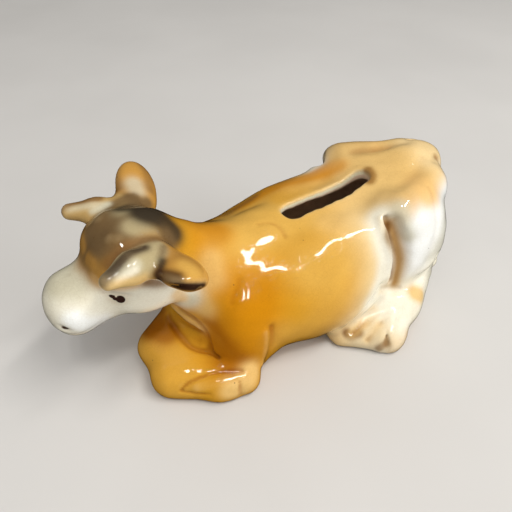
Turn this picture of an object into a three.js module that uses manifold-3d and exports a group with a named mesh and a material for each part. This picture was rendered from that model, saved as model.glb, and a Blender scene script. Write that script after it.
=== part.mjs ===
// Figural coin bank: a slip-cast, glazed ceramic cow lying down, in millimetres.
// +Z is up, the cow faces -X, and the origin is on the table under the middle of the object.
import * as THREE from 'three';
import Module from 'manifold-3d';
import { MarchingCubes } from 'three/addons/objects/MarchingCubes.js';
import { mergeVertices } from 'three/addons/utils/BufferGeometryUtils.js';

// ---- Driving dimensions ----
const WALL = 4.5; // thickness of the cast clay
const SLOT = { length: 42, width: 8.6, x: 28.5, turn: 4, bottom: 40, top: 70 }; // cut a little askew
const HOLE = { x: 10, radius: 13 }; // hole in the base, closed by the stopper
const RECESS = { radius: 17, depth: 2.6 }; // keeps the stopper's flange off the table
const FLOOR = RECESS.depth + WALL; // top of the clay around the hole
const GAP = 0.35; // between separate pieces
const FLANGE = { radius: RECESS.radius - 1, bottom: 0.4 };
const PLUG = { height: 8, taper: 0.8, wall: 1.8 };
const LUTE_GAP = 0.3; // the joint where a horn or an ear is stuck on
const BODY_CELL = 4; // size of the grid that each surface is drawn on
const CAVITY_CELL = 5;
const SPRIG_CELL = 2;
const MIDDLE_X = 1.2; // of the finished cow, as modelled
const FIGURE_MIDDLE = [0, 0, 36];
const FIGURE_SPAN = 190;
const SPRIG_SPAN = 40;
const MAX_FACES = 30000;
const MARGIN_CELLS = 4; // of empty grid around a form
const WELD = 1e-3; // vertices nearer than this become one
const NUDGE = 1e-5; // keeps grid points off the surface itself
const TINY = 1e-6; // keeps the distance finite at the centre of an oval
const HOLLOW = { front: -30, rear: 100, side: 60, top: 90 }; // how far the casting slip drained
const SLOT_SIDES = 8;
const ROUND_SIDES = 48;
const FLANGE_CHAMFER = 0.6;
const WEB = 0.5; // of the stopper, between its flange and its hollow plug

const wasm = await Module();
wasm.setup();

const glaze = (color) => new THREE.MeshStandardMaterial({ color, roughness: 0.12, metalness: 0 });
const amber = glaze(0xc07a2c);
const tan = glaze(0xb08a5c);
const rubber = new THREE.MeshStandardMaterial({ color: 0x8a8378, roughness: 0.6, metalness: 0 });

// ---- Soft forms ----
// Each is the distance to its surface, negative inside, and how far it melts into the next form.
function oval(centre, radii, blend, turn = [0, 0, 0]) {
  const [yaw, pitch, roll] = turn.map(THREE.MathUtils.degToRad);
  const toLocal = new THREE.Matrix4()
    .makeRotationFromEuler(new THREE.Euler(roll, pitch, yaw, 'ZYX'))
    .setPosition(...centre)
    .invert();
  const scale = new THREE.Vector3(...radii);
  const p = new THREE.Vector3();
  const distance = (point) => {
    p.copy(point).applyMatrix4(toLocal).divide(scale);
    const reach = p.length();
    return ((reach + TINY) * (reach - 1)) / (p.divide(scale).length() + TINY / Math.min(...radii));
  };
  return { distance, blend };
}

// A rounded bar from one ball to another, each given as [x, y, z, radius].
function bar([x, y, z, start], [x2, y2, z2, end], blend) {
  const from = new THREE.Vector3(x, y, z);
  const along = new THREE.Vector3(x2, y2, z2).sub(from);
  const length = along.length();
  along.normalize();
  const slope = (start - end) / length;
  const cosine = Math.sqrt(1 - slope * slope);
  const p = new THREE.Vector3();
  const distance = (point) => {
    p.copy(point).sub(from);
    const height = p.dot(along);
    const side = Math.sqrt(Math.max(p.lengthSq() - height * height, 0));
    const on = height - (side * slope) / cosine;
    if (on <= 0) return p.length() - start;
    if (on >= length) return Math.hypot(side, height - length) - end;
    return side * cosine + height * slope - start;
  };
  return { distance, blend };
}

const chain = (balls, blend) => balls.slice(1).map((ball, i) => bar(balls[i], ball, blend));
const otherSide = ([x, y, z, ...rest]) => [x, -y, z, ...rest];
const bothSides = (centre, radii, blend) => [
  oval(centre, radii, blend),
  oval(otherSide(centre), radii, blend),
];
const chainBothSides = (balls, blend) => [
  ...chain(balls, blend),
  ...chain(balls.map(otherSide), blend),
];

const torso = [
  oval([16, 0, 24], [48, 36, 29], 8), // barrel
  oval([-17, 0, 19], [22, 27, 27], 12), // chest
  oval([58, 0, 29], [25, 30, 27], 12), // loin
  ...chainBothSides([[18, 15, 38, 10], [42, 19, 43, 8]], 10), // edges of the back
  bar([22, 0, 43, 8], [50, 0, 47.5, 8.5], 6), // spine
];
const rump = [
  ...chainBothSides([[51, 20, 51, 9], [72, 11, 51, 8.5]], 10), // hook bone to pin bone
  ...chain([[54, 0, 46, 9], [72, 2, 51, 9], [79, 3, 53.5, 7]], 10), // croup and tail head
  ...bothSides([58, 19, 33], [18.5, 13, 24], 4), // thighs
];
const neck = [
  bar([-14, 0, 28, 19], [-38, 0, 47, 13], 10),
  ...chain([[-44, 0, 61, 8], [-22, 0, 44, 7], [2, 0, 41, 7]], 8), // crest
];
const forelegs = [
  ...chain([[-50, -18, 6, 8], [-34, -28, 5, 7], [-25.5, -31.5, 5, 6]], 5), // left leg, folded
  bar([-50, -3, 8, 8], [-30, 6, 10, 11], 7), // right knee
  oval([-36, -11, 6], [18, 16, 11], 7),
  ...bothSides([-20, 22, 18], [11, 9, 20], 7), // upper arms
];
const hindLegs = [
  ...chainBothSides([[65, 21, 13, 8.5], [51, 31, 8, 8], [37, 40, 5, 7], [22, 30, 4, 6]], 5),
  ...bothSides([48, 26, 10], [17, 9, 11], 5),
];
const head = [
  oval([-51, 0, 58], [13, 13.5, 14], 8), // skull
  bar([-56, 0, 53, 11], [-73, 0, 46, 10], 6), // face
  oval([-76, 0, 44], [7.5, 11, 9], 6), // muzzle
  ...bothSides([-50, 8, 46], [12, 7, 9], 6), // cheeks
  bar([-50, 0, 43, 8], [-74, 0, 40, 7], 6), // lower jaw
  ...bothSides([-57, 7.5, 61], [8.5, 7.5, 7], 8), // brows
];
const leftHorn = [[-47.5, -14, 64.2, 5.5], [-56.3, -18, 66.6, 4.9], [-64.6, -20.5, 66.8, 2.8]];
const rightHorn = [[-48, 12.5, 65, 5.2], [-57.5, 17, 65.5, 4.3], [-66, 20.5, 66, 2.9]];
const leftEar = [oval([-43, -22, 62.8], [8.2, 11.8, 4.8], 4, [8, 25, -8])];
const rightEar = [
  oval([-41, 23.5, 65.5], [7.5, 12.5, 4], 4, [-5, 20, 22]),
  oval([-44, 17, 64.5], [6.5, 6, 4], 4, [-5, 20, 22]),
];
const sprigs = {
  horn_left: { forms: chain(leftHorn, 3), middle: [-57, -17, 66] },
  horn_right: { forms: chain(rightHorn, 3), middle: [-58, 16, 66] },
  ear_left: { forms: leftEar, middle: [-43, -22, 63] },
  ear_right: { forms: rightEar, middle: [-41, 23, 66] },
};

// ---- From forms to solids ----
function distanceTo(forms, point) {
  return forms.reduce((total, { distance, blend }) => {
    const d = distance(point);
    const melt = Math.max(blend - Math.abs(total - d), 0) / blend;
    return Math.min(total, d) - melt * melt * blend * 0.25;
  }, Infinity);
}

function solidOf(geometry) {
  const closed = geometry.index ? geometry.toNonIndexed() : geometry.clone();
  closed.deleteAttribute('normal');
  closed.deleteAttribute('uv');
  const merged = mergeVertices(closed, WELD);
  return new wasm.Manifold(new wasm.Mesh({
    numProp: 3,
    vertProperties: merged.attributes.position.array,
    triVerts: new Uint32Array(merged.index.array),
  }));
}

// Draws the surface that lies `grow` outside the forms, on a cubic grid around `centre`.
function cast(forms, middle, span, cell, grow = 0) {
  const centre = new THREE.Vector3(...middle);
  const resolution = Math.ceil(span / cell) + MARGIN_CELLS;
  const cubes = new MarchingCubes(resolution, amber, false, false, MAX_FACES);
  const point = new THREE.Vector3();
  cubes.isolation = 0;
  for (let i = 0; i < cubes.field.length; i++) {
    const x = i % resolution;
    const y = Math.floor(i / resolution) % resolution;
    const z = Math.floor(i / (resolution * resolution));
    point.set(x, y, z).subScalar(resolution / 2).multiplyScalar(cell).add(centre);
    cubes.field[i] = grow - distanceTo(forms, point) + NUDGE;
  }
  cubes.update();
  const positions = cubes.positionArray.slice(0, cubes.count * 3);
  const geometry = new THREE.BufferGeometry()
    .setAttribute('position', new THREE.BufferAttribute(positions, 3));
  const half = (resolution / 2) * cell;
  return solidOf(geometry.scale(half, half, half).translate(centre.x, centre.y, centre.z));
}

function geometryOf(solid) {
  const { vertProperties, triVerts } = solid.getMesh();
  return new THREE.BufferGeometry()
    .setAttribute('position', new THREE.BufferAttribute(vertProperties, 3))
    .setIndex(new THREE.BufferAttribute(triVerts, 1))
    .toNonIndexed();
}

function block(low, high) {
  const size = new THREE.Vector3(...high).sub(new THREE.Vector3(...low));
  const geometry = new THREE.BoxGeometry(size.x, size.y, size.z);
  const middle = new THREE.Vector3(...low).addScaledVector(size, 0.5);
  return solidOf(geometry.translate(middle.x, middle.y, middle.z));
}

function disc(radius, bottom, top) {
  const geometry = new THREE.CylinderGeometry(radius, radius, top - bottom, ROUND_SIDES);
  geometry.rotateX(Math.PI / 2);
  return solidOf(geometry.translate(HOLE.x, 0, (top + bottom) / 2));
}

function slotCutter() {
  const end = SLOT.width / 2;
  const straight = SLOT.length / 2 - end;
  const outline = new THREE.Shape()
    .moveTo(-straight, -end)
    .lineTo(straight, -end)
    .absarc(straight, 0, end, -Math.PI / 2, Math.PI / 2, false)
    .lineTo(-straight, end)
    .absarc(-straight, 0, end, Math.PI / 2, (3 * Math.PI) / 2, false);
  const geometry = new THREE.ExtrudeGeometry(outline, {
    depth: SLOT.top - SLOT.bottom,
    bevelEnabled: false,
    curveSegments: SLOT_SIDES,
  });
  geometry.rotateZ(THREE.MathUtils.degToRad(SLOT.turn));
  return solidOf(geometry.translate(SLOT.x, 0, SLOT.bottom));
}

const figureForms = [...torso, ...rump, ...neck, ...forelegs, ...hindLegs, ...head];
const aboveTable = block([-120, -80, 0], [120, 80, 120]);
const figure = cast(figureForms, FIGURE_MIDDLE, FIGURE_SPAN, BODY_CELL).intersect(aboveTable);
const grownFigure = cast(figureForms, FIGURE_MIDDLE, FIGURE_SPAN, BODY_CELL, LUTE_GAP);

// The hollow follows the torso and the neck, one wall inside them, over a level floor.
const cavity = cast([...torso, ...neck], FIGURE_MIDDLE, FIGURE_SPAN, CAVITY_CELL, -WALL)
  .intersect(block(
    [HOLLOW.front, -HOLLOW.side, FLOOR],
    [HOLLOW.rear, HOLLOW.side, HOLLOW.top],
  ));

const shell = figure
  .subtract(cavity)
  .subtract(slotCutter())
  .subtract(disc(HOLE.radius, -1, FLOOR + 1))
  .subtract(disc(RECESS.radius, -1, RECESS.depth));

// A soft stopper: a flange, and a hollow plug that narrows upwards.
function stopper() {
  const seat = RECESS.depth - GAP;
  const plug = HOLE.radius - GAP;
  const top = seat + PLUG.height;
  const outline = [
    [0, FLANGE.bottom],
    [FLANGE.radius - FLANGE_CHAMFER, FLANGE.bottom],
    [FLANGE.radius, FLANGE.bottom + FLANGE_CHAMFER],
    [FLANGE.radius, seat],
    [plug, seat],
    [plug - PLUG.taper, top],
    [plug - PLUG.taper - PLUG.wall, top],
    [plug - PLUG.taper - PLUG.wall, seat + WEB],
    [0, seat + WEB],
  ].map(([x, y]) => new THREE.Vector2(x, y));
  return new THREE.LatheGeometry(outline, ROUND_SIDES).rotateX(Math.PI / 2).translate(HOLE.x, 0, 0);
}

// ---- The object ----
const bank = new THREE.Group();
bank.position.x = -MIDDLE_X;
function add(name, geometry, material) {
  const mesh = new THREE.Mesh(geometry, material);
  mesh.name = name;
  bank.add(mesh);
}

add('ceramic_body', geometryOf(shell), amber);
for (const side of ['left', 'right']) {
  const horn = sprigs[`horn_${side}`];
  const ear = sprigs[`ear_${side}`];
  const hornSolid = cast(horn.forms, horn.middle, SPRIG_SPAN, SPRIG_CELL);
  const hornRoom = cast(horn.forms, horn.middle, SPRIG_SPAN, SPRIG_CELL, LUTE_GAP);
  const earSolid = cast(ear.forms, ear.middle, SPRIG_SPAN, SPRIG_CELL);
  add(`horn_${side}`, geometryOf(hornSolid.subtract(grownFigure)), tan);
  add(`ear_${side}`, geometryOf(earSolid.subtract(grownFigure).subtract(hornRoom)), amber);
}
add('base_stopper', stopper(), rubber);

export default bank;
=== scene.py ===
"""The looks of the glazed ceramic cow coin bank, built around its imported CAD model.

The cow is modelled in millimetres as one field of clay: each form melts into the last, folds are
pressed in with soft strokes, and the surface is then cut into the cast body and the applied horns
and ears. The cow faces -X, its left side is -Y, and it lies on the ground at z = 0.
"""
import copy
import math

import bpy
import numpy as np
import openvdb
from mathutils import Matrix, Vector


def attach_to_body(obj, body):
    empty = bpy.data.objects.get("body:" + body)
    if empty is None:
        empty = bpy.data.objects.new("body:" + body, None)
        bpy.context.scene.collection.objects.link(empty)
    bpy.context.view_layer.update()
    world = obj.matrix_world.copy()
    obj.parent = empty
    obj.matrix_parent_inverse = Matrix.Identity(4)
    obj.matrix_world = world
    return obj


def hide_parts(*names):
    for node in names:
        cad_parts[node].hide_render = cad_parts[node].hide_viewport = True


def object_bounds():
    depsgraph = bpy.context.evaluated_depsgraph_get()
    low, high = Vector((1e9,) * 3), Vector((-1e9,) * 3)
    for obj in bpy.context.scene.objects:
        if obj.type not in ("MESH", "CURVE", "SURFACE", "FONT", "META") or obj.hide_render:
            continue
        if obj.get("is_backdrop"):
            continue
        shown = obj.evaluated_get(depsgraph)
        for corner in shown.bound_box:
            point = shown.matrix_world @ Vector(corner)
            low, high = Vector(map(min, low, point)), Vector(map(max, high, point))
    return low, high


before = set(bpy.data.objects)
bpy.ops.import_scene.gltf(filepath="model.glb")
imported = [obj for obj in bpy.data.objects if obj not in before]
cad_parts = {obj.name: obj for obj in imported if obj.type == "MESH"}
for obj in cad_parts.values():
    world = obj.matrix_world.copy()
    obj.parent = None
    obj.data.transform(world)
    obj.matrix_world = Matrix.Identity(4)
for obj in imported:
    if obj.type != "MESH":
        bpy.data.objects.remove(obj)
cad_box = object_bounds()

# ---- Driving sizes, in millimetres ----
MM = 0.001
MIDDLE_X = 1.2  # the cow is modelled this far from the frame's origin
CELL = 0.7  # size of the grid that the clay is kept on
STOPPER_CELL = 0.4
CLAY_BOX = ((-90, -56, -4), (92, 56, 82))  # the lowest and highest corners of the cow's grid
FAR = 30.0  # a distance that means "nowhere near"
REACH = 6.0  # how far around itself a form is reckoned
CURVE_STEPS = 6  # straight steps between two points of a curve

WALL = 4.5
SLOT = {"length": 42, "width": 8.6, "x": 28.5, "turn": 4, "bottom": 40}
SLOT_THINNING = 1.0  # the clay is thinner around the slot, where the slip drained from the back
THINNING_REACH = 5.0
HOLE_X, HOLE_RADIUS = 10, 13
RECESS_RADIUS, RECESS_DEPTH = 17, 2.6
FLOOR_TOP = RECESS_DEPTH + WALL
HOLLOW_FRONT = -30
ROUNDING = {"foot": 1.6, "hollow": 2.0, "slot": 1.2, "hole": 0.8}
EAR_HOLLOW_WIDTH, EAR_HOLLOW_DEPTH = 1.9, 1.6
WAVER = 0.11  # unevenness of the surface
KNIFE_WAVER = 0.25  # unevenness of the slot's edge
CAP_LIFT = 0.3  # keeps the hidden caps of neighbouring pieces apart
GLAZE_REACH = 2.0  # how far the glaze runs into the slot
FOOT_HEIGHT = 0.25  # below this the foot is wiped bare

GAP = 0.35
FLANGE_BOTTOM = 0.4
PLUG_HEIGHT, PLUG_TAPER, PLUG_WALL = 8, 0.8, 1.8
RIB_HEIGHTS, RIB_DEPTH, RIB_WIDTH = (2.5, 5), 0.16, 0.5
WELL_RADIUS, WELL_TOP, GRIP_WIDTH = 12, 1.7, 4.4


# ---- Clay: a solid kept as the distance to its surface, negative inside ----
def turned(yaw, pitch, roll):
    """The rotation by roll about X, then pitch about Y, then yaw about Z, in degrees."""
    angles = [math.radians(a) for a in (yaw, pitch, roll)]
    (cy, sy), (cp, sp), (cr, sr) = ((math.cos(a), math.sin(a)) for a in angles)
    about_z = np.array([[cy, -sy, 0], [sy, cy, 0], [0, 0, 1]])
    about_y = np.array([[cp, 0, sp], [0, 1, 0], [-sp, 0, cp]])
    about_x = np.array([[1, 0, 0], [0, cr, -sr], [0, sr, cr]])
    return about_z @ about_y @ about_x


def oval(centre, radii, blend, turn=(0, 0, 0)):
    """An ellipsoid, as (lowest corner, highest corner, distance, blend)."""
    centre = np.array(centre, float)
    axes = turned(*turn)

    def distance(x, y, z):
        p = (x - centre[0], y - centre[1], z - centre[2])
        turned_back = [axes[0, i] * p[0] + axes[1, i] * p[1] + axes[2, i] * p[2] for i in range(3)]
        local = [u / r for u, r in zip(turned_back, radii)]
        reach = np.sqrt(sum(u * u for u in local))
        steep = np.sqrt(sum((u / r) ** 2 for u, r in zip(local, radii)))
        return (reach + 1e-6) * (reach - 1) / (steep + 1e-6 / min(radii))

    return centre - max(radii), centre + max(radii), distance, blend


def bar(start, end, blend):
    """A rounded bar from one ball to another, each given as (x, y, z, radius)."""
    a, b = np.array(start[:3], float), np.array(end[:3], float)
    length = np.linalg.norm(b - a)
    along = (b - a) / length
    slope = (start[3] - end[3]) / length
    cosine = math.sqrt(1 - slope * slope)

    def distance(x, y, z):
        p = (x - a[0], y - a[1], z - a[2])
        height = p[0] * along[0] + p[1] * along[1] + p[2] * along[2]
        square = p[0] ** 2 + p[1] ** 2 + p[2] ** 2
        side = np.sqrt(np.maximum(square - height**2, 0))
        on = height - side * slope / cosine
        flank = side * cosine + height * slope - start[3]
        tip = np.hypot(side, height - length) - end[3]
        return np.where(on <= 0, np.sqrt(square) - start[3], np.where(on >= length, tip, flank))

    reach = max(start[3], end[3])
    return np.minimum(a, b) - reach, np.maximum(a, b) + reach, distance, blend


def chain(balls, blend):
    """Bars that join a row of balls."""
    return [bar(a, b, blend) for a, b in zip(balls, balls[1:])]


def mirrored(point):
    """The same point on the other side of the cow."""
    return (point[0], -point[1], *point[2:])


def both_sides(make, first, *rest):
    """A form and its mirror image, where the form's first argument is a point or a list of points."""
    other = [mirrored(p) for p in first] if isinstance(first, list) else mirrored(first)
    pair = [make(first, *rest), make(other, *rest)]
    return sum(pair, []) if isinstance(pair[0], list) else pair


def melt(one, other, blend):
    """The lesser of two distances, with the corner between them filled."""
    near = np.maximum(blend - np.abs(one - other), 0) / blend
    return np.minimum(one, other) - near * near * blend * 0.25


def curve(points):
    """A smooth curve through given points, as a row of short straight steps."""
    p = np.array([points[0], *points, points[-1]], float)
    t = np.linspace(0, 1, CURVE_STEPS, endpoint=False)[:, None]
    pieces = [
        b + 0.5 * t * (c - a + t * (2 * a - 5 * b + 4 * c - d + t * (3 * (b - c) + d - a)))
        for a, b, c, d in zip(p, p[1:], p[2:], p[3:])
    ]
    return np.vstack([*pieces, p[-1:]])


def distance_to_curve(path, x, y, z):
    nearest = np.float32(1e6)
    for a, b in zip(path, path[1:]):
        along = b - a
        t = ((x - a[0]) * along[0] + (y - a[1]) * along[1] + (z - a[2]) * along[2]) / (along @ along)
        t = np.clip(t, 0, 1)
        square = sum((u - a[i] - t * along[i]) ** 2 for i, u in enumerate((x, y, z)))
        nearest = np.minimum(nearest, square)
    return np.sqrt(nearest)


class Clay:
    """A grid of distances to a surface, negative inside it."""

    def __init__(self, low, high, cell):
        self.low = np.array(low, float)
        self.cell = cell
        counts = np.ceil((np.array(high) - self.low) / cell).astype(int) + 1
        self.axes = [self.low[i] + cell * np.arange(counts[i]) for i in range(3)]
        self.field = np.full(counts, FAR, np.float32)

    def twin(self):
        """A copy that later changes leave alone."""
        other = copy.copy(self)
        other.field = self.field.copy()
        return other

    def region(self, low, high):
        """The part of the grid between two corners, as its slices and its coordinates."""
        spans = []
        for i in range(3):
            first = max(0, int((low[i] - self.low[i]) / self.cell))
            last = min(len(self.axes[i]), int((high[i] - self.low[i]) / self.cell) + 2)
            spans.append(slice(first, last))
        axes = [axis[span] for axis, span in zip(self.axes, spans)]
        return tuple(spans), np.meshgrid(*axes, indexing="ij", sparse=True)

    def everywhere(self):
        """The coordinates of the whole grid."""
        return np.meshgrid(*self.axes, indexing="ij", sparse=True)

    def add(self, forms):
        """Melts forms into the clay."""
        for low, high, distance, blend in forms:
            spans, grids = self.region(low - blend - REACH, high + blend + REACH)
            self.field[spans] = melt(self.field[spans], distance(*grids).astype(np.float32), blend)
        return self

    def cut(self, distance, soft):
        """Takes away what lies inside distance, with a rounded edge."""
        hole = distance(*self.everywhere()).astype(np.float32)
        self.field = -melt(-self.field, hole, soft)
        return self

    def press(self, points, width, depth, both=True):
        """A soft groove of that width and depth along a curve, or a ridge where depth is negative."""
        margin = 2.2 * width
        for side in (points, [mirrored(p) for p in points])[: 2 if both else 1]:
            path = curve(side)
            spans, grids = self.region(path.min(0) - margin, path.max(0) + margin)
            near = np.exp(-((distance_to_curve(path, *grids) / width) ** 2))
            self.field[spans] += (depth * near).astype(np.float32)
        return self

    def at(self, points):
        """The distance at each point, read between the grid's corners."""
        q = (points - self.low) / self.cell
        q = np.clip(q, 0, np.array(self.field.shape) - 1.001)
        base = q.astype(int)
        t = q - base
        total = 0
        for corner in np.ndindex(2, 2, 2):
            weight = np.prod(np.where(corner, t, 1 - t), axis=1)
            total = total + weight * self.field[tuple((base + corner).T)]
        return total

    def slope(self, points, step):
        """The gradient of the distance at each point."""
        rises = [self.at(points + o) - self.at(points - o) for o in np.eye(3) * step]
        return np.stack(rises, axis=1) / (2 * step)

    def bend(self, points, step):
        """How much the surface curves: positive on ridges, negative in folds."""
        around = sum(self.at(points + o) + self.at(points - o) for o in np.eye(3) * step)
        return (around - 6 * self.at(points)) / step**2

    def surface(self):
        """Vertices on the surface, its quads and its normals."""
        grid = openvdb.FloatGrid(FAR)
        grid.copyFromArray(self.field)
        points, quads = grid.convertToQuads(isovalue=0.0)
        points = points * self.cell + self.low
        for _ in range(3):  # each pass moves the vertices closer to the surface
            slope = self.slope(points, self.cell / 2)
            push = self.at(points) / np.maximum((slope**2).sum(1), 0.2)
            points = points - np.clip(push, -self.cell, self.cell)[:, None] * slope
        normals = self.slope(points, self.cell)
        normals /= np.linalg.norm(normals, axis=1, keepdims=True) + 1e-9
        return points, quads, normals


# ---- The cow's forms, as in the CAD ----
TORSO = [
    oval((16, 0, 24), (48, 36, 29), 8),
    oval((-17, 0, 19), (22, 27, 27), 12),
    oval((58, 0, 29), (25, 30, 27), 12),
    *both_sides(chain, [(18, 15, 38, 10), (42, 19, 43, 8)], 10),
    bar((22, 0, 43, 8), (50, 0, 47.5, 8.5), 6),
]
RUMP = [
    *both_sides(chain, [(51, 20, 51, 9), (72, 11, 51, 8.5)], 10),
    *chain([(54, 0, 46, 9), (72, 2, 51, 9), (79, 3, 53.5, 7)], 10),
    *both_sides(oval, (58, 19, 33), (18.5, 13, 24), 4),
]
NECK = [
    bar((-14, 0, 28, 19), (-38, 0, 47, 13), 10),
    *chain([(-44, 0, 61, 8), (-22, 0, 44, 7), (2, 0, 41, 7)], 8),
]
FORELEGS = [
    *chain([(-50, -18, 6, 8), (-34, -28, 5, 7), (-25.5, -31.5, 5, 6)], 5),
    bar((-50, -3, 8, 8), (-30, 6, 10, 11), 7),
    oval((-36, -11, 6), (18, 16, 11), 7),
    *both_sides(oval, (-20, 22, 18), (11, 9, 20), 7),
]
HIND_LEGS = [
    *both_sides(chain, [(65, 21, 13, 8.5), (51, 31, 8, 8), (37, 40, 5, 7), (22, 30, 4, 6)], 5),
    *both_sides(oval, (48, 26, 10), (17, 9, 11), 5),
]
HEAD = [
    oval((-51, 0, 58), (13, 13.5, 14), 8),
    bar((-56, 0, 53, 11), (-73, 0, 46, 10), 6),
    oval((-76, 0, 44), (7.5, 11, 9), 6),
    *both_sides(oval, (-50, 8, 46), (12, 7, 9), 6),
    bar((-50, 0, 43, 8), (-74, 0, 40, 7), 6),
    *both_sides(oval, (-57, 7.5, 61), (8.5, 7.5, 7), 8),
]
SPRIGS = {
    "horn_left": chain([(-47.5, -14, 64.2, 5.5), (-56.3, -18, 66.6, 4.9), (-64.6, -20.5, 66.8, 2.8)], 3),
    "horn_right": chain([(-48, 12.5, 65, 5.2), (-57.5, 17, 65.5, 4.3), (-66, 20.5, 66, 2.9)], 3),
    "ear_left": [oval((-43, -22, 62.8), (8.2, 11.8, 4.8), 4, (8, 25, -8))],
    "ear_right": [
        oval((-41, 23.5, 65.5), (7.5, 12.5, 4), 4, (-5, 20, 22)),
        oval((-44, 17, 64.5), (6.5, 6, 4), 4, (-5, 20, 22)),
    ],
}

# ---- Smaller shapes that the CAD leaves out ----
DETAILS = [
    oval((0, 0, 49), (9, 8, 3.5), 5),  # withers
    *chain([(81, 0, 56, 4), (84, -4, 46, 3), (82, -12, 30, 3), (76, -20, 14, 3.5)], 4),  # tail
]
# points, width, depth; a ridge where the depth is negative; on both sides of the cow
FOLDS = [
    ([(43.5, 24.5, 51.5), (44.5, 27, 46), (46, 29, 40), (47, 30, 34), (47, 31, 28), (46, 32, 22)], 3.2, 3.0),
    (  # along the front of the thigh
        [(41.2, 22, 52), (40.4, 25, 47), (41.8, 27, 42), (43.7, 28, 37), (43.8, 29, 32), (43, 30, 25)],
        1.3,
        2.4,
    ),
    ([(47, 18, 55), (55, 15, 58), (64, 11, 60), (72, 6, 61)], 3.5, 1.0),  # beside the spine
    ([(36, 33, 26), (32, 34, 23), (27, 35, 18), (22, 34, 11), (17, 33, 7), (13, 29, 2)], 1.6, 2.0),  # belly
    ([(37, 33, 26), (43, 32, 21), (50, 32.5, 19.2)], 1.3, 2.2),  # under the thigh
    (
        [(37, 33, 26), (43, 32, 21), (49, 32.5, 19.5), (55, 33, 19.5), (62, 32, 22), (67, 29, 28)],
        1.8,
        1.6,
    ),
    ([(44, 34, 25), (50, 34, 23.5), (57, 34, 24), (63, 32, 28)], 2.4, -0.8),
    ([(38, 33.5, 18), (31, 34.5, 13), (23, 35, 8)], 1.3, 0.8),  # folds of the foot
    ([(41, 36, 17), (34, 38.5, 12), (27, 40, 7)], 1.3, 0.7),
    ([(46, 38, 16), (39, 41, 12), (34, 43.5, 9)], 1.3, 0.6),
    ([(34, 42.5, 10), (32.5, 45, 7.5), (31.5, 46.5, 5), (31, 47, 1)], 1.4, 1.5),
    ([(-13.5, 31, 28), (-13.5, 32, 22), (-14, 32.5, 14), (-15, 31, 4)], 1.4, 1.0),  # behind the arm
    ([(-16.5, 31, 27), (-17, 32, 20), (-18, 32, 10)], 1.6, -0.6),
    ([(-20, 18, 44), (-22, 20, 42), (-25, 22, 39)], 1.8, 0.4),  # shoulder
    ([(-66, 10, 53), (-62, 12.5, 53), (-58, 14, 51.5)], 1.0, 0.35),  # eyelids
    ([(-58.6, 6, 70.2), (-57, 7, 70.2)], 3.2, -0.9),  # brows
    ([(-81, 9, 43), (-80, 10, 42)], 1.3, 1.0),  # nostrils
    ([(-84, 0, 39.5), (-80, 8, 39), (-74, 10.5, 39), (-68, 10.5, 39.5)], 0.8, 0.3),  # mouth
    ([(77, 8, 61), (80.5, 6, 59.5), (83, 6.5, 56), (85, 7, 50), (85, 8, 42)], 1.6, 1.2),  # beside the tail
]
LEFT_FOLDS = [
    (  # between the chest and the folded foreleg
        [
            (-43, 0, 19),
            (-42.4, -7, 17.5),
            (-41, -14, 15.7),
            (-38.5, -18, 15),
            (-34.5, -21, 15),
            (-32.5, -24, 14.5),
        ],
        1.4,
        1.2,
    ),
    ([(-49.5, -26, 8), (-46, -27, 11), (-40, -28, 12), (-33, -30, 12.5), (-27, -32, 11.5)], 0.8, 0.8),  # shin
    ([(-49.5, -26.5, 7.5), (-45, -29.5, 7), (-40, -32.5, 7)], 0.8, 0.6),
    ([(-44, -29.5, 9.5), (-37, -32, 10), (-31.5, -34, 9.5), (-26, -34.5, 9)], 2.2, -0.9),
    ([(-29.5, -34.8, 10), (-30, -36.5, 7), (-30, -37, 3)], 0.8, 1.0),  # hoof
    ([(-40, -8, 30), (-36.5, -14, 27.5), (-34, -18, 23), (-34, -20.5, 16.5)], 1.2, 1.1),  # dewlap
    ([(-42, -2, 22), (-40, -8, 21.5), (-37, -13, 22), (-35.5, -17, 22), (-35.5, -20, 18)], 1.3, 1.4),
    ([(-42, -4, 28), (-39, -10, 26.5), (-36, -15, 25.5), (-34.5, -19, 20)], 1.8, -0.9),
    ([(-41, -12, 18.5), (-38, -17, 18.5)], 2.4, 1.0),
    ([(-4, -3, 53), (0, -4, 53), (2.5, -7, 52), (3, -11, 50)], 1.1, 0.4),  # edge of the withers
    ([(38.5, -22.5, 53.5), (38, -26.5, 47.5), (39.5, -29, 42), (41, -30.5, 37), (40, -32, 30)], 2.0, -0.8),
    ([(63, -20, 58), (62.5, -26, 53), (62.5, -29, 47), (60.5, -32, 38), (59, -33, 30)], 1.6, 0.4),
]
RIGHT_FOLDS = [
    ([(42, 20, 53), (50, 18, 56), (58, 15, 58), (66, 10, 60)], 3.2, 0.8),  # beside the spine
]
EAR_HOLLOWS = [
    [(-47, -29, 63.5), (-45.3, -31.3, 64.3), (-42.1, -32.7, 63.8), (-39.8, -32.7, 62.5)],
    [(-46.5, 17, 61), (-45.5, 24, 62.5), (-43.5, 30, 64.5)],
]


def slot_distance(x, y, z):
    """The distance to a round-ended slot, cut by hand down from the back."""
    turn = math.radians(SLOT["turn"])
    u = (x - SLOT["x"]) * math.cos(turn) + y * math.sin(turn)
    v = y * math.cos(turn) - (x - SLOT["x"]) * math.sin(turn)
    straight = (SLOT["length"] - SLOT["width"]) / 2
    ragged = KNIFE_WAVER * np.sin(u * 0.9) * np.sin(u * 0.37 + 1)
    side = np.hypot(np.maximum(np.abs(u) - straight, 0), v) - SLOT["width"] / 2 + ragged
    return np.maximum(side, SLOT["bottom"] - z)


def disc_distance(radius, top):
    """The distance to a round hole that comes up from below to a height."""

    def distance(x, y, z):
        return np.maximum(np.hypot(x - HOLE_X, y) - radius, z - top)

    return distance


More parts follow.
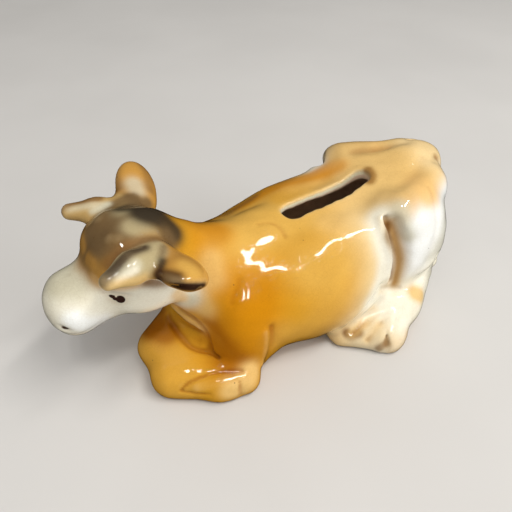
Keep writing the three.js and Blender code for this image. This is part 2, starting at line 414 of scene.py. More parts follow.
def wavering(x, y, z):
    """The unevenness of a surface finished by hand."""
    along = np.sin(x * 0.41 + 1.3 * np.sin(y * 0.23))
    return WAVER * (along * np.sin(y * 0.47 + z * 0.3) * np.sin(z * 0.38 + 0.7))


def model_cow():
    """The finished cow, the figure without horns and ears, and the cow before it is cut open."""
    cow = Clay(*CLAY_BOX, CELL)
    cow.add([*TORSO, *RUMP, *NECK, *FORELEGS, *HIND_LEGS, *HEAD, *DETAILS])
    for points, width, depth in FOLDS:
        cow.press(points, width, depth)
    for points, width, depth in LEFT_FOLDS + RIGHT_FOLDS:
        cow.press(points, width, depth, both=False)
    cow.field += wavering(*cow.everywhere()).astype(np.float32)
    figure = cow.twin()
    for forms in SPRIGS.values():
        cow.add(forms)
    for points in EAR_HOLLOWS:
        cow.press(points, EAR_HOLLOW_WIDTH, EAR_HOLLOW_DEPTH, both=False)
    skin = cow.twin()

    cow.cut(lambda x, y, z: z + 0 * x + 0 * y, ROUNDING["foot"])
    x, y, z = cow.everywhere()
    beside_slot = np.maximum(slot_distance(x, y, z), 0)
    wall = WALL - SLOT_THINNING * np.exp(-((beside_slot / THINNING_REACH) ** 2))
    hollow = Clay(*CLAY_BOX, CELL).add([*TORSO, *NECK])
    inside = np.maximum(hollow.field + wall, FLOOR_TOP - z)
    inside = np.maximum(inside, HOLLOW_FRONT - x)
    cow.field = -melt(-cow.field, inside, ROUNDING["hollow"])
    cow.cut(slot_distance, ROUNDING["slot"])
    cow.cut(disc_distance(HOLE_RADIUS, FLOOR_TOP + 1), ROUNDING["hole"])
    cow.cut(disc_distance(RECESS_RADIUS, RECESS_DEPTH), ROUNDING["hole"])
    return cow, figure, skin


# ---- Paint: airbrushed colours, with painted shade and highlights among them, laid over one another ----
AMBER = (0.62, 0.30, 0.018)
DEEP_AMBER = (0.56, 0.215, 0.002)
BURNT_AMBER = (0.36, 0.115, 0.002)
LIGHT_AMBER = (0.71, 0.425, 0.095)
TAN = (0.78, 0.52, 0.195)
CREAM = (0.80, 0.62, 0.34)
WHITE = (0.88, 0.85, 0.72)
CHINA_WHITE = (0.94, 0.97, 0.97)
PEACH = (0.82, 0.56, 0.24)
ORANGE = (0.82, 0.52, 0.20)
RUST = (0.52, 0.27, 0.055)
SIENNA = (0.34, 0.175, 0.045)
FAWN = (0.56, 0.37, 0.14)
BROWN = (0.22, 0.11, 0.035)
DARK_BROWN = (0.035, 0.014, 0.010)
GREY = (0.16, 0.10, 0.045)
SMOKE = (0.045, 0.034, 0.022)
STONE = (0.47, 0.39, 0.22)
GREIGE = (0.62, 0.59, 0.45)
SLOT_WALL = (0.94, 0.88, 0.64)
INNER_CLAY = (0.70, 0.51, 0.36)
RAW_CLAY = (0.72, 0.66, 0.56)

# colour, path, radius of the full colour, softness beyond it, strength; on both sides of the cow
SPRAYS = [
    (DEEP_AMBER, [(-20, 17, 45), (-18, 24, 40), (-22, 28, 30), (-25, 29, 22)], 5, 11, 0.85),  # shoulder
    (BURNT_AMBER, [(-33, 20, 26), (-31, 25, 21), (-29, 29, 15)], 3, 6, 0.85),
    (LIGHT_AMBER, [(-54, 4, 14), (-52, 14, 14), (-50, 24, 10)], 4, 8, 0.35),  # forelegs
    (BURNT_AMBER, [(-50, 1, 16.5), (-46, 6, 17)], 2.5, 4, 0.85),  # painted shade in the recess below the chest
    (LIGHT_AMBER, [(-12, 0, 53), (12, 0, 55), (36, 0, 56)], 6, 12, 0.7),  # back
    (DEEP_AMBER, [(-21, 2, 56), (-27, 5, 57)], 3, 6, 0.55),  # crest of the neck
    (TAN, [(-27.5, 11, 51), (-28.5, 14, 46)], 1.5, 5, 0.6),  # side of the neck
    (TAN, [(-35, 14.5, 41), (-33.5, 16.5, 35)], 1.5, 4, 0.6),
    (LIGHT_AMBER, [(8, 27, 45), (28, 28, 46), (32, 32, 32)], 4, 10, 0.7),
    (TAN, [(22, 14, 52), (32, 14, 52), (36, 20, 50)], 2, 7, 0.55),
    (LIGHT_AMBER, [(12, 33, 33), (0, 34, 22), (-10, 32, 22)], 2, 7, 0.4),
    (TAN, [(46, 4, 58), (58, 8, 61), (74, 4, 62)], 10, 11, 0.9),  # croup
    (CREAM, [(36, 24, 52), (37, 30, 44), (35, 33, 33), (29, 35, 22), (22, 35, 12)], 3, 12, 0.75),  # flank
    (WHITE, [(39, 23, 53), (39, 28, 46), (40, 30, 39), (38, 33, 31), (32, 35, 23)], 3, 4.5, 0.95),
    (CHINA_WHITE, [(56, 30, 43), (58, 32, 30), (68, 28, 40), (78, 18, 42), (86, 6, 42)], 10, 7, 0.97),
    (WHITE, [(66, 28, 14), (50, 36, 14), (38, 37, 14), (31, 42, 8)], 7, 7, 0.95),  # foot
    # painted shade, greyer towards the rear edge of the haunch
    (GREIGE, [(72, 24, 46), (69, 28, 40), (64, 32, 31)], 2, 5, 0.5),
    (WHITE, [(74, 20, 20), (84, 6, 26), (84, 0, 12)], 14, 8, 0.95),  # rear
    (CREAM, [(76, 6, 60), (84, 2, 56)], 3, 7, 0.7),  # tail head
    (TAN, [(-24, 34, 11), (-29, 36, 8), (-33, 35.5, 8)], 2, 4, 0.85),  # hoof of the foreleg
    (GREIGE, [(46, 24, 56), (45.5, 27, 52), (47.5, 29, 46)], 1.5, 3.5, 0.7),
    (  # painted shade along the fold in front of the thigh, darkest at its crisp edge
        FAWN,
        [(42, 23.5, 50), (44.4, 26.4, 43.4), (46.8, 28.2, 36), (47.6, 29, 30), (47, 29.2, 21)],
        0.6,
        3.3,
        0.8,
    ),
    (
        SIENNA,
        [(42, 23.3, 49.6), (44, 26.6, 43.4), (46.4, 28, 36), (47, 28.8, 30), (46.6, 29, 21.5)],
        0.3,
        2.2,
        0.85,
    ),
    (
        BROWN,
        [
            (40.5, 23.5, 50.5),
            (39.2, 27, 48),
            (39.9, 28.3, 44),
            (42, 28.6, 38),
            (43.6, 28.7, 31),
            (43.6, 29.2, 25),
        ],
        0.5,
        1.5,
        0.6,
    ),
    # painted shade at the top of the fold
    (BROWN, [(41.5, 24.5, 50), (39.5, 26.8, 48), (41, 27.5, 44.5)], 0.8, 1.8, 0.6),
    # painted shadow under the overhanging lower edge of the thigh
    (BROWN, [(38, 31, 24.5), (44, 30, 21), (49, 31, 19)], 0.3, 0.9, 0.35),
    (CREAM, [(31, 41, 8), (24, 37, 7), (18, 33, 6)], 3, 5, 0.7),
    (BROWN, [(21, 33.7, 8), (22.3, 35, 7), (25, 36.5, 8.6)], 0.8, 1.7, 0.9),  # painted shade, with brown glaze, in the crease between the folds of the foot
    # painted shade in the cleft of the hind hoof
    (BROWN, [(32.3, 45.3, 7.2), (31, 44.8, 6), (30, 44.4, 4.5)], 0.8, 1.6, 0.75),
    (TAN, [(34, 34, 15), (29, 35, 12), (23, 35, 8)], 0.6, 2.2, 0.6),
    (PEACH, [(33, 39, 11), (27, 39.5, 7)], 0.6, 2.2, 0.5),
    (TAN, [(54, 35, 16.7), (56.6, 35.8, 14.5)], 1.5, 3, 0.9),
    (SIENNA, [(80.5, 5.5, 59.5), (82, 6, 58.5)], 0.5, 1.4, 0.7),
    (PEACH, [(36, 46, 7), (36, 47, 3)], 1, 4, 0.5),
    (ORANGE, [(61, 18, 60), (60, 23, 58)], 2.5, 5, 0.75),  # hook bone
    (WHITE, [(-82, 0, 46), (-73, 0, 46), (-60, 10, 44), (-47, 13, 44)], 9.5, 5, 1.0),  # muzzle and cheeks
    (WHITE, [(-80, 0, 53), (-71, 0, 55)], 3, 5, 0.9),
    (WHITE, [(-60, 0, 39), (-49, 0, 40)], 4, 4, 1.0),
    (GREIGE, [(-37.5, 14, 39), (-39, 10, 36)], 1, 3, 0.6),  # behind the jaw
    (PEACH, [(-42, 15, 45), (-41, 13, 40)], 1.0, 2.6, 0.7),  # corner of the jaw
    (TAN, [(-41, 5, 29), (-38, 11, 27), (-35, 16, 25)], 0.8, 3, 0.5),  # dewlap
    # painted shade, greyer on the top of the muzzle
    (GREIGE, [(-77, 0, 56), (-73, 4, 56)], 3, 5, 0.8),
    (CHINA_WHITE, [(-77, 11, 46.5), (-74, 11.5, 43), (-69, 9.5, 40)], 1.5, 3.5, 0.9),  # lips
    (RUST, [(-66.5, 0, 62.5), (-66.5, 5, 62.5), (-65, 9, 60)], 2.0, 4.0, 0.85),  # bridge of the nose
    (RUST, [(-64, 13, 61), (-62, 15, 64)], 2.0, 3, 0.8),
    (GREY, [(-62, 0, 66), (-57, 5, 68), (-52, 0, 71)], 5, 6, 0.94),  # forehead
    (RUST, [(-67, 3, 63), (-66, 7, 63.5)], 0.8, 2.2, 0.7),
    (STONE, [(-50.4, 4.7, 71.3), (-48.5, 6.6, 70.3), (-46.7, 8.5, 68.5)], 2.0, 3.2, 0.8),
    (SMOKE, [(-44.5, 0, 72), (-41.5, 2.5, 70.5), (-38.5, 6.5, 65.5)], 2.2, 4.2, 0.96),  # poll
    (FAWN, [(-47.5, 10.5, 68.8), (-45, 10.5, 68.5)], 1.2, 2.6, 0.6),
    (GREY, [(-41, 9, 67), (-40, 11, 65), (-42, 13, 67)], 1.2, 3.0, 0.9),
]
# dark at the slot's far end: painted shade on its end wall, with pooled brown glaze
SLOT_END_SHADE_AND_POOLING = (SIENNA, [(47.2, -3.6, 57), (49, -2, 57.2), (50, 1.5, 57.5)], 0.9, 1.8, 0.8)
# as above, but only on the side where they are given
SINGLE_SPRAYS = [
    (AMBER, [(12, 9, 53), (24, 11, 53), (36, 12, 53)], 2, 4, 0.5),  # beyond the slot
    # painted shade along the far edge of the back
    (DEEP_AMBER, [(0, 18, 47), (16, 18, 50), (32, 17, 52), (44, 14, 55)], 1.5, 4, 0.8),
    (BROWN, [(6, 19, 48.5), (-3, 18, 47), (-9, 15, 47.5)], 0.6, 2.6, 0.55),
    (FAWN, [(47, 20, 58.5), (56, 18, 59)], 3, 6, 0.75),  # far hip
    SLOT_END_SHADE_AND_POOLING,
    (RUST, [(-46, -23, 64), (-40, -32, 65)], 7, 3, 1.0),  # left ear
    (SIENNA, [(-46, -21, 69.5), (-43, -19, 68)], 1.0, 3.0, 0.45),
    (LIGHT_AMBER, [(-42, -26, 68), (-41, -29, 67)], 1.0, 2.5, 0.6),
    (STONE, [(-50.5, -15.5, 67), (-65, -21, 68)], 5.6, 1.6, 1.0),  # left horn
    # painted highlight along the top of the left horn
    (GREIGE, [(-56, -21.5, 70.5), (-63.5, -22, 68.5)], 0.8, 2, 0.8),
    (WHITE, [(-56.5, -22.5, 69.6), (-62, -22.8, 67.9)], 0.3, 1.3, 0.8),
    (TAN, [(-55, -23.5, 65), (-61, -23.5, 66), (-66, -22.8, 66.5)], 1.0, 2.4, 0.8),
    # dark brown along the top edge of the left horn: brown paint with painted shadow
    (
        DARK_BROWN,
        [(-66.3, -21.5, 68.4), (-62.6, -20, 70), (-60, -19, 71.2), (-56.5, -17.5, 72), (-51, -15, 71)],
        0.9,
        1.8,
        0.85,
    ),
    # brown on the forehead beside the left horn: brown paint with painted shadow
    (
        BROWN,
        [(-62, -12, 65.8), (-58.5, -12, 68.1), (-55, -11, 69.1), (-50, -10.6, 69.3), (-45, -11, 68.5)],
        0.6,
        2.4,
        0.85,
    ),
    # painted shadow in the crease between the left horn and ear
    (GREY, [(-45, -16, 69), (-47, -20, 69.5)], 0.3, 1.6, 0.7),
    (SMOKE, [(-47.6, -21.5, 69), (-49, -23.5, 67), (-49.5, -24, 64.5)], 0.4, 1.6, 0.9),
    (DARK_BROWN, [(-50, -24.5, 66), (-48.3, -27, 67), (-46.2, -29.3, 67)], 1.0, 2.0, 0.85),
    # painted shade on the cheek under the root of the left ear
    (BROWN, [(-52, -15, 56), (-49.5, -14.5, 54), (-45.5, -14.3, 52.5)], 0.4, 2.4, 0.8),
    (RUST, [(-44, 18, 66), (-39, 31, 69)], 7, 3, 1.0),  # right ear
    (BROWN, [(-48, 21, 69), (-47.5, 27, 70.5), (-46, 32, 72)], 0.6, 2.6, 0.65),
    (BROWN, [(-36.5, 19, 67), (-35, 25, 68), (-35, 31, 70)], 0.8, 2.4, 0.55),
    (GREIGE, [(-42.5, 17, 69), (-42, 21, 69.8)], 1.2, 3.4, 0.65),
    (GREY, [(-49, 13.5, 70), (-47, 12, 69)], 1.8, 3.0, 0.8),
    (GREY, [(-47.3, 9.5, 70), (-43.7, 10.4, 68), (-40.5, 12.5, 66)], 1.0, 2.4, 0.9),
    (FAWN, [(-53, 14, 67), (-66, 20.5, 67)], 5, 2, 1.0),  # right horn
    # painted highlight along the top of the right horn
    (GREIGE, [(-66, 19, 68.5), (-60, 15.7, 70), (-55, 13, 70)], 0.5, 1.6, 0.6),
    (BROWN, [(-69, 21, 67), (-64, 20.5, 69.8), (-56, 17, 71)], 0.9, 1.5, 0.85),
    (
        GREY,
        [(-60, 8.5, 68.5), (-56, 10, 68.5), (-53.8, 11.5, 69.3), (-49, 12.5, 70.2), (-44.5, 13.7, 69)],
        0.8,
        2.4,
        0.85,
    ),
    # painted highlight along the base of the right horn
    (GREIGE, [(-60, 13, 69), (-57, 12.5, 69.3), (-54, 13, 70)], 0.3, 1.5, 0.8),
    (SMOKE, [(-50.8, 6.7, 70.5), (-47.2, 4.5, 71.3), (-43.6, 0.9, 71.1)], 1.2, 3.5, 0.85),
]


def spray(colours, points, colour, path, full, soft, strength):
    """The colours with one more laid over them along a path."""
    away = distance_to_curve(curve(path), *points.T)
    cover = strength * np.exp(-((np.maximum(away - full, 0) / soft) ** 2) * 1.6)
    return colours + (np.array(colour) - colours) * cover[:, None]


def painted(points, bends):
    """The airbrushed colour of each point, painted shade and highlights among it, with glaze that pools in
    the folds and thins on the ridges.
    """
    colours = np.tile(AMBER, (len(points), 1))
    for colour, path, *rest in SPRAYS:
        for side in (path, [mirrored(p) for p in path]):
            colours = spray(colours, points, colour, side, *rest)
    for layer in SINGLE_SPRAYS:
        colours = spray(colours, points, *layer)
    # the ear hollows painted dark brown: inner-ear colour with painted shade in the hollow
    for path in EAR_HOLLOWS:
        colours = spray(colours, points, DARK_BROWN, path, 1.5, 1.0, 0.97)
    whiteness = np.clip((colours[:, 2:] / colours[:, :1] - 0.15) * 2, 0, 0.8)
    wide, narrow = (bend[:, None] for bend in bends)
    fold = np.clip(-wide - 0.06, 0, 0.5) * (1 - whiteness)
    ridge = np.clip(wide / 0.6 - 0.4, 0, 1)
    crease = np.clip(-narrow * 0.8 - 0.5, 0, 0.6)
    colours = colours * (1 - fold * np.array([0.5, 0.75, 0.9]))
    colours = colours + (np.array(SIENNA) - colours) * crease * whiteness
    return colours + (np.array(CREAM) - colours) * ridge * 0.3


# ---- Meshes ----
def new_object(name, points, faces, normals):
    """An object with smooth faces and those normals, its points given in the cow's millimetres."""
    mesh = bpy.data.meshes.new(name)
    mesh.from_pydata((np.array(points) - (MIDDLE_X, 0, 0)) * MM, [], faces)
    mesh.polygons.foreach_set("use_smooth", [True] * len(mesh.polygons))
    mesh.normals_split_custom_set_from_vertices(normals)
    mesh.update()
    obj = bpy.data.objects.new(name, mesh)
    bpy.context.scene.collection.objects.link(obj)
    return obj


def rims(quads):
    """The open edges of a patch of quads, as loops of vertices that run against the quads."""
    edges = {(a, b) for q in quads.tolist() for a, b in zip(q, q[1:] + q[:1])}
    after = {}
    for a, b in sorted(edges):
        if (b, a) not in edges:
            after.setdefault(b, []).append(a)
    while after:
        start = here = next(iter(after))
        loop = []
        while not loop or here != start:
            loop.append(here)
            ahead = after[here]
            step = ahead.pop()
            if not ahead:
                del after[here]
            here = step
        yield loop


def largest_patch(quads, owned):
    """Of the quads marked as owned, the largest patch that hangs together."""
    label = np.arange(quads.max() + 1)
    mine = quads[owned]
    while True:
        least = label[mine].min(axis=1)
        before = label.copy()
        for i in range(4):
            np.minimum.at(label, mine[:, i], least)
        if (label == before).all():
            break
    patch = label[mine[:, 0]]
    names, counts = np.unique(patch, return_counts=True)
    kept = owned.copy()
    kept[owned] = patch == names[counts.argmax()]
    return kept


def close_piece(points, quads, normals, lift):
    """A patch of the surface as a closed mesh.

    Each open rim gets a shallow cap, lifted along the way it faces.
    """
    used, faces = np.unique(quads, return_inverse=True)
    faces = faces.reshape(quads.shape)
    points, normals = points[used], normals[used]
    caps, tips, ways = [], [], []
    for loop in rims(faces):
        way = normals[loop].mean(axis=0)
        way /= np.linalg.norm(way)
        tips.append(points[loop].mean(axis=0) + way * lift)
        ways.append(way)
        tip = len(points) + len(tips) - 1
        caps += [(a, b, tip) for a, b in zip(loop, loop[1:] + loop[:1])]
    if tips:
        points = np.vstack([points, tips])
        normals = np.vstack([normals, ways])
    return points, faces.tolist() + caps, normals


def split(points, quads, normals, figure):
    """The surface shared out between the body and the sprigs, each closed where it was cut."""
    middles = points[quads].mean(axis=1)
    reach = [figure.at(middles)]
    for forms in SPRIGS.values():
        nearest = FAR
        for _, _, distance, blend in forms:
            nearest = melt(nearest, distance(*middles.T), blend)
        reach.append(nearest)
    owner = np.argmin(reach, axis=0)
    pieces = {}
    left = np.ones(len(quads), bool)
    for i, name in enumerate(SPRIGS, 1):
        owned = largest_patch(quads, owner == i)
        pieces[name] = close_piece(points, quads[owned], normals, CAP_LIFT)
        left &= ~owned
    pieces["ceramic_body"] = close_piece(points, quads[left], normals, -CAP_LIFT)
    return pieces


# ---- Materials ----
CLOUD_TINT = (0.62, 0.55, 0.42)
GRAIN_TINT = (0.60, 0.52, 0.42)
CRAZE_TINT = (0.35, 0.24, 0.14)
SPECK_BROWN = (0.10, 0.05, 0.02)
EYE_SHADE = (0.50, 0.36, 0.20)
EYE_GLINT = (0.80, 0.70, 0.52)
NOSTRIL_BROWN = (0.05, 0.022, 0.012)
CLAY_TINT = (0.62, 0.56, 0.46)
GROG_BROWN = (0.40, 0.33, 0.26)
RUBBER_LIGHT, RUBBER_DARK = (0.33, 0.29, 0.24), (0.24, 0.205, 0.165)
RUBBER_DUST = (0.52, 0.48, 0.42)
FLOOR_LIGHT, FLOOR_DARK = (0.62, 0.61, 0.60), (0.59, 0.58, 0.57)


class Nodes:
    """A material's node tree, with short calls for the nodes used here."""

    def __init__(self, name):
        self.material = bpy.data.materials.new(name)
        self.material.use_nodes = True
        self.tree = self.material.node_tree
        self.shader = self.tree.nodes["Principled BSDF"]
        self.place = self.new("ShaderNodeTexCoord").outputs["Object"]

    def new(self, kind, **settings):
        node = self.tree.nodes.new(kind)
        for key, value in settings.items():
            setattr(node, key, value)
        return node

    def join(self, source, target):
        self.tree.links.new(source, target)

    def feed(self, node, **inputs):
        """Sets or joins a node's inputs, given by name, or by place as _0, _1 and so on."""
        for key, value in inputs.items():
            socket = node.inputs[int(key[1:]) if key.startswith("_") else key]
            if isinstance(value, bpy.types.NodeSocket):
                self.join(value, socket)
            else:
                socket.default_value = value
        return node

    def set(self, **values):
        """Sets the shader's own inputs."""
        for key, value in values.items():
            self.shader.inputs[key.replace("_", " ")].default_value = value

    def noise(self, per_metre, detail=2.0, roughness=0.5):
        node = self.new("ShaderNodeTexNoise")
        self.feed(node, Vector=self.place, Scale=per_metre, Detail=detail, Roughness=roughness)
        return node.outputs[0]

    def cells(self, per_metre, feature):
        node = self.new("ShaderNodeTexVoronoi", feature=feature)
        return self.feed(node, Vector=self.place, Scale=per_metre)

    def remap(self, value, low, high, to_low=0.0, to_high=1.0):
        node = self.new("ShaderNodeMapRange", interpolation_type="SMOOTHSTEP")
        return self.feed(node, _0=value, _1=low, _2=high, _3=to_low, _4=to_high).outputs[0]

    def math(self, operation, a, b=0.0):
        return self.feed(self.new("ShaderNodeMath", operation=operation), _0=a, _1=b).outputs[0]

    def mix(self, amount, a, b, blend="MIX"):
        node = self.new("ShaderNodeMix", data_type="RGBA", blend_type=blend)
        return self.feed(node, _0=amount, _6=a, _7=b).outputs[2]

    def wash(self, colour, mask, amount, tint, blend="MULTIPLY"):
        """The colour with a tint over it, as much as amount where the mask is one."""
        return self.mix(self.math("MULTIPLY", mask, amount), colour, rgba(tint), blend)

    def bump(self, height, distance, below=None):
        node = self.feed(self.new("ShaderNodeBump"), Height=height, Distance=distance, Strength=1.0)
        if below is not None:
            self.join(below, node.inputs["Normal"])
        return node.outputs[0]

    def paint(self):
        return self.new("ShaderNodeVertexColor", layer_name="paint").outputs[0]


def rgba(colour):
    return (*colour, 1.0)


def oval_mask(nodes, centre, radii, turn=(0, 0, 0), edge=0.12):
    """One inside an oval on either side of the head, nought outside."""
    apart = nodes.feed(nodes.new("ShaderNodeSeparateXYZ"), Vector=nodes.place)
    side = nodes.math("ABSOLUTE", apart.outputs[1])
    joined = nodes.new("ShaderNodeCombineXYZ")
    nodes.feed(joined, X=apart.outputs[0], Y=side, Z=apart.outputs[2])
    mapping = nodes.new("ShaderNodeMapping", vector_type="TEXTURE")
    nodes.feed(
        mapping,
        Vector=joined.outputs[0],
        Location=((centre[0] - MIDDLE_X) * MM, centre[1] * MM, centre[2] * MM),
        Rotation=tuple(math.radians(a) for a in turn),
        Scale=tuple(r * MM for r in radii),
    )
    length = nodes.feed(nodes.new("ShaderNodeVectorMath", operation="LENGTH"), _0=mapping.outputs[0])
    return nodes.remap(length.outputs["Value"], 1 + edge, 1 - edge)


def glaze(name, face=False):
    """Clear gloss glaze, faintly crazed and pooled, over airbrushed colour."""
    nodes = Nodes(name)
    colour = nodes.paint()
    cloud = nodes.remap(nodes.noise(90, 3.0), 0.35, 0.65)
    colour = nodes.wash(colour, cloud, 0.16, CLOUD_TINT)
    grain = nodes.remap(nodes.noise(1500, 4.0, 0.7), 0.3, 0.7)
    colour = nodes.wash(colour, grain, 0.16, GRAIN_TINT)
    craze = nodes.remap(nodes.cells(420, "DISTANCE_TO_EDGE").outputs[0], 0.03, 0.0)
    patchy = nodes.remap(nodes.noise(45, 1.0), 0.42, 0.62)
    crazing = nodes.math("MULTIPLY", craze, patchy)
    colour = nodes.wash(colour, crazing, 0.14, CRAZE_TINT)
    speck = nodes.remap(nodes.cells(260, "F1").outputs["Distance"], 0.09, 0.05)
    sparse = nodes.remap(nodes.noise(130, 0.0), 0.66, 0.70)
    specks = nodes.math("MULTIPLY", speck, sparse)
    colour = nodes.wash(colour, specks, 0.75, SPECK_BROWN, "MIX")
    if face:
        colour = painted_features(nodes, colour)
    nodes.join(colour, nodes.shader.inputs["Base Color"])
    nodes.join(nodes.remap(cloud, 0, 1, 0.34, 0.46), nodes.shader.inputs["Roughness"])
    peel = nodes.bump(nodes.noise(140, 1.5), 0.00009)
    fine = nodes.bump(nodes.math("SUBTRACT", nodes.noise(900, 2.0), crazing), 0.000012, peel)
    nodes.join(peel, nodes.shader.inputs["Normal"])
    nodes.join(fine, nodes.shader.inputs["Coat Normal"])
    nodes.set(Coat_Weight=1.0, Coat_Roughness=0.035, Coat_IOR=1.5, IOR=1.45, Specular_IOR_Level=0.05)
    return nodes.material


def painted_features(nodes, colour):
    """The eyes, each a comma with a glint in it, and the nostrils."""
    ball = oval_mask(nodes, (-61.2, 12, 50.0), (1.45, 6, 1.9), edge=0.08)
    tail = oval_mask(nodes, (-63.0, 11, 51.2), (1.5, 6, 0.8), (0, 32, 0), 0.1)
    join = oval_mask(nodes, (-62.3, 11, 50.4), (1.2, 6, 1.0), edge=0.1)
    eye = nodes.math("MAXIMUM", nodes.math("MAXIMUM", ball, tail), join)
    halo = oval_mask(nodes, (-62, 12, 50.6), (3.6, 6, 3.2), edge=0.7)
    colour = nodes.wash(colour, halo, 0.35, EYE_SHADE)
    colour = nodes.mix(eye, colour, rgba(DARK_BROWN))
    glint = oval_mask(nodes, (-62.3, 12, 51.5), (0.32, 6, 0.4))
    colour = nodes.wash(colour, glint, 0.9, EYE_GLINT, "MIX")
    nostril = oval_mask(nodes, (-80.5, 9.5, 42.6), (1.3, 1.6, 0.9), edge=0.25)
    return nodes.mix(nostril, colour, rgba(NOSTRIL_BROWN))


def bare_clay(name):
    """Unglazed fired clay: chalky, with fine grog and faint scuffs."""
    nodes = Nodes(name)
    colour = nodes.paint()
    cloud = nodes.remap(nodes.noise(60, 3.0), 0.3, 0.7)
    colour = nodes.wash(colour, cloud, 0.35, CLAY_TINT)
    grog = nodes.remap(nodes.cells(1800, "F1").outputs["Distance"], 0.25, 0.1)
    colour = nodes.wash(colour, grog, 0.18, GROG_BROWN, "MIX")
    nodes.join(colour, nodes.shader.inputs["Base Color"])
    nodes.join(nodes.remap(nodes.noise(300, 2.0), 0.3, 0.7, 0.75, 0.92), nodes.shader.inputs["Roughness"])
    rough = nodes.bump(nodes.noise(2500, 5.0, 0.7), 0.00006)
    nodes.join(nodes.bump(nodes.noise(220, 2.0), 0.0001, rough), nodes.shader.inputs["Normal"])
    return nodes.material


def soft_rubber(name):
    """Aged natural rubber: satin, with mould texture and dust."""
    nodes = Nodes(name)
    cloud = nodes.remap(nodes.noise(140, 4.0, 0.6), 0.3, 0.7)
    colour = nodes.mix(cloud, rgba(RUBBER_LIGHT), rgba(RUBBER_DARK))
    dust = nodes.remap(nodes.noise(1600, 4.0, 0.7), 0.52, 0.72)
    colour = nodes.wash(colour, dust, 0.35, RUBBER_DUST, "MIX")
    nodes.join(colour, nodes.shader.inputs["Base Color"])
    nodes.join(nodes.remap(cloud, 0, 1, 0.48, 0.66), nodes.shader.inputs["Roughness"])
    nodes.join(nodes.bump(nodes.noise(2200, 3.0), 0.00004), nodes.shader.inputs["Normal"])
    return nodes.material


def pale_floor(name):
    """A matt sheet of pale paper, faintly clouded."""
    nodes = Nodes(name)
    cloud = nodes.remap(nodes.noise(8, 3.0), 0.3, 0.7)
    nodes.join(nodes.mix(cloud, rgba(FLOOR_LIGHT), rgba(FLOOR_DARK)), nodes.shader.inputs["Base Color"])
    nodes.set(Roughness=0.9)
    return nodes.material


# ---- Pieces: the name of what stands for each CAD node ----
LABELS = {
    "ceramic_body": "cow_body",
    "horn_left": "cow_horn_left",
    "horn_right": "cow_horn_right",
    "ear_left": "cow_ear_left",
    "ear_right": "cow_ear_right",
    "base_stopper": "rubber_stopper",
}


def attach(obj, node, body):
    """Puts a piece in a CAD node's place, on its body, and hides that node."""
    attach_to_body(obj, body)
    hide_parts(node)


def lay_paint(obj, colours):
    """Keeps a colour for each vertex, for the materials to read."""
    layer = obj.data.color_attributes.new("paint", "FLOAT_COLOR", "POINT")
    layer.data.foreach_set("color", np.column_stack([colours, np.ones(len(colours))]).ravel())


def make_cow():
    """The cast body, glazed outside and bare inside and underneath, and its horns and ears."""
    cow, figure, skin = model_cow()
    points, quads, normals = cow.surface()
    body_glaze, sprig_glaze = glaze("glaze_body", face=True), glaze("glaze_sprig")
    clay = bare_clay("bare_clay")
    for node, (places, faces, ways) in split(points, quads, normals, figure).items():
        obj = new_object(LABELS[node], places, faces, ways)
        colours = painted(places, [cow.bend(places, step) for step in (2.0, 1.0)])
        if node == "ceramic_body":
            colours = unglazed(places, colours, skin)
            obj.data.materials.append(body_glaze)
            obj.data.materials.append(clay)
            middles = np.array([places[list(face)].mean(axis=0) for face in faces])
            bare = (middles[:, 2] < FOOT_HEIGHT) | (skin.at(middles) < -GLAZE_REACH)
            obj.data.polygons.foreach_set("material_index", bare.astype(np.int32))
        else:
            obj.data.materials.append(sprig_glaze)
        lay_paint(obj, colours)
        attach(obj, node, "bank")


def unglazed(points, colours, skin):
    """The colours below the glazed skin: cream where the slot was wiped, raw clay inside and underneath."""
    deep = -skin.at(points)[:, None]
    rim = np.clip(deep - 0.2, 0, 0.3) + np.clip((deep - 0.9) / 0.6, 0, 0.7)
    colours = colours + (np.array(SLOT_WALL) - colours) * rim
    # the painted shade and pooled glaze at the slot's far end
    colours = spray(colours, points, *SLOT_END_SHADE_AND_POOLING)
    inner = np.clip((deep - GLAZE_REACH) / 0.6, 0, 1)
    colours = colours + (np.array(INNER_CLAY) - colours) * inner
    under = np.clip((0.5 - points[:, 2:]) / 0.4, 0, 1)
    return colours + (np.array(RAW_CLAY) - colours) * under


def ring(radius, low, high, soft):
    """An upright disc between two heights with rounded edges, about the hole's axis."""

    def distance(x, y, z):
        out = np.hypot(x - HOLE_X, y) - (radius - soft)
        up = np.abs(z - (low + high) / 2) - ((high - low) / 2 - soft)
        return np.hypot(np.maximum(out, 0), np.maximum(up, 0)) + np.minimum(np.maximum(out, up), 0) - soft

    return distance


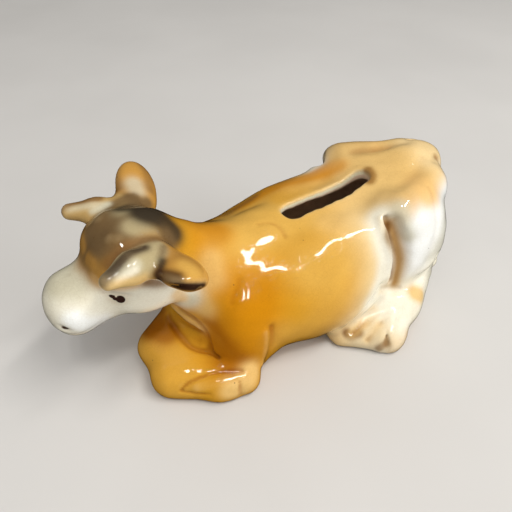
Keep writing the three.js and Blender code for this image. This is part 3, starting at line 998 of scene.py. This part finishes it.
def make_stopper():
    """A flange with two finger wells and a grip between them, and a hollow ribbed plug above it."""
    seat = RECESS_DEPTH - GAP
    top = seat + PLUG_HEIGHT
    plug_radius = HOLE_RADIUS - GAP
    # The grid starts at odd fractions, so that none of its corners lies exactly on a face.
    stopper = Clay((HOLE_X - 18.07, -18.07, -1.05), (HOLE_X + 18, 18, top + 2), STOPPER_CELL)
    x, y, z = stopper.everywhere()
    flange = ring(RECESS_RADIUS - 1, FLANGE_BOTTOM, seat, 0.55)(x, y, z)
    narrowing = PLUG_TAPER * np.clip((z - seat) / PLUG_HEIGHT, 0, 1)
    ribs = sum(RIB_DEPTH * np.exp(-(((z - seat - height) / RIB_WIDTH) ** 2)) for height in RIB_HEIGHTS)
    plug = ring(plug_radius, seat - 0.8, top, 0.5)(x, y, z) + narrowing - ribs
    hollow = ring(plug_radius - PLUG_TAPER - PLUG_WALL, seat + 0.5, top + 4, 0.6)(x, y, z)
    wells = np.maximum(ring(WELL_RADIUS, -2, WELL_TOP, 0.5)(x, y, z), GRIP_WIDTH / 2 - np.abs(y))
    solid = -melt(-melt(flange, plug, 0.4), hollow, 0.3)
    stopper.field = -melt(-solid, wells, 0.5).astype(np.float32)
    points, quads, normals = stopper.surface()
    obj = new_object(LABELS["base_stopper"], points, quads.tolist(), normals)
    obj.data.materials.append(soft_rubber("soft_rubber"))
    attach(obj, "base_stopper", "stopper")


# ---- Studio, in metres ----
AIM = Vector((0, 0, 0.035))
KEY_Y, KEY_Z, KEY_COLOUR = -0.36, 0.92, (1, 0.97, 0.92)
KEY_LIGHTS = [  # place across, size, watts
    (0.235, (0.56, 0.08), 4.7),
    (-0.145, (0.04, 0.12), 0.8),
    (-0.24, (0.04, 0.12), 0.8),
]
FLOOR_REACH = 3.0
WORLD_COLOUR, WORLD_STRENGTH = (0.88, 0.86, 0.82), 0.5
CAMERA_PLACE = (-0.0806, -0.140, 0.178)
CAMERA_BELOW_LEVEL, CAMERA_HEADING = 42, -28.5  # degrees


def area_light(name, place, size, watts, colour=(1, 1, 1), mirrored_in_glaze=True):
    """A rectangular softbox that faces the middle of the cow."""
    data = bpy.data.lights.new(name, "AREA")
    data.shape = "RECTANGLE"
    data.size, data.size_y = size
    data.energy = watts
    data.color = colour
    obj = bpy.data.objects.new(name, data)
    obj.location = place
    obj.rotation_euler = (AIM - Vector(place)).to_track_quat("-Z", "Y").to_euler()
    obj.visible_glossy = mirrored_in_glaze
    bpy.context.scene.collection.objects.link(obj)


def make_studio():
    """A pale floor, soft lights and a plain sky. The glaze mirrors only the key lights."""
    corners = [(-1, -1), (1, -1), (1, 1), (-1, 1)]
    floor = bpy.data.meshes.new("floor")
    floor.from_pydata([(x * FLOOR_REACH, y * FLOOR_REACH, 0) for x, y in corners], [], [(0, 1, 2, 3)])
    floor.materials.append(pale_floor("floor_paint"))
    sheet = bpy.data.objects.new("floor", floor)
    bpy.context.scene.collection.objects.link(sheet)
    sheet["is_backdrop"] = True
    sheet.visible_glossy = False

    for number, (across, size, watts) in enumerate(KEY_LIGHTS):
        area_light(f"key_{number}", (across, KEY_Y, KEY_Z), size, watts, KEY_COLOUR)
    area_light("fill", (0.95, -1.05, 0.6), (0.8, 0.8), 8.8, mirrored_in_glaze=False)
    area_light("rim", (-0.7, -0.8, 0.8), (1.0, 1.0), 2.4, mirrored_in_glaze=False)

    world = bpy.data.worlds.new("studio")
    world.use_nodes = True
    sky = world.node_tree.nodes["Background"]
    sky.inputs["Color"].default_value = rgba(WORLD_COLOUR)
    sky.inputs["Strength"].default_value = WORLD_STRENGTH
    bpy.context.scene.world = world
    world.cycles_visibility.glossy = False
    bpy.context.scene.view_settings.view_transform = "Standard"


def make_camera():
    data = bpy.data.cameras.new("camera")
    data.sensor_width = 36
    data.lens = 37.27
    data.clip_start = 0.01
    camera = bpy.data.objects.new("camera", data)
    camera.location = CAMERA_PLACE
    camera.rotation_euler = (math.radians(90 - CAMERA_BELOW_LEVEL), 0, math.radians(CAMERA_HEADING))
    bpy.context.scene.collection.objects.link(camera)
    bpy.context.scene.camera = camera


make_camera()
make_studio()
make_cow()
make_stopper()

boxes = {"cad": cad_box, "visual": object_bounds()}
{k: [[float(v) for v in corner] for corner in box] for k, box in boxes.items()}
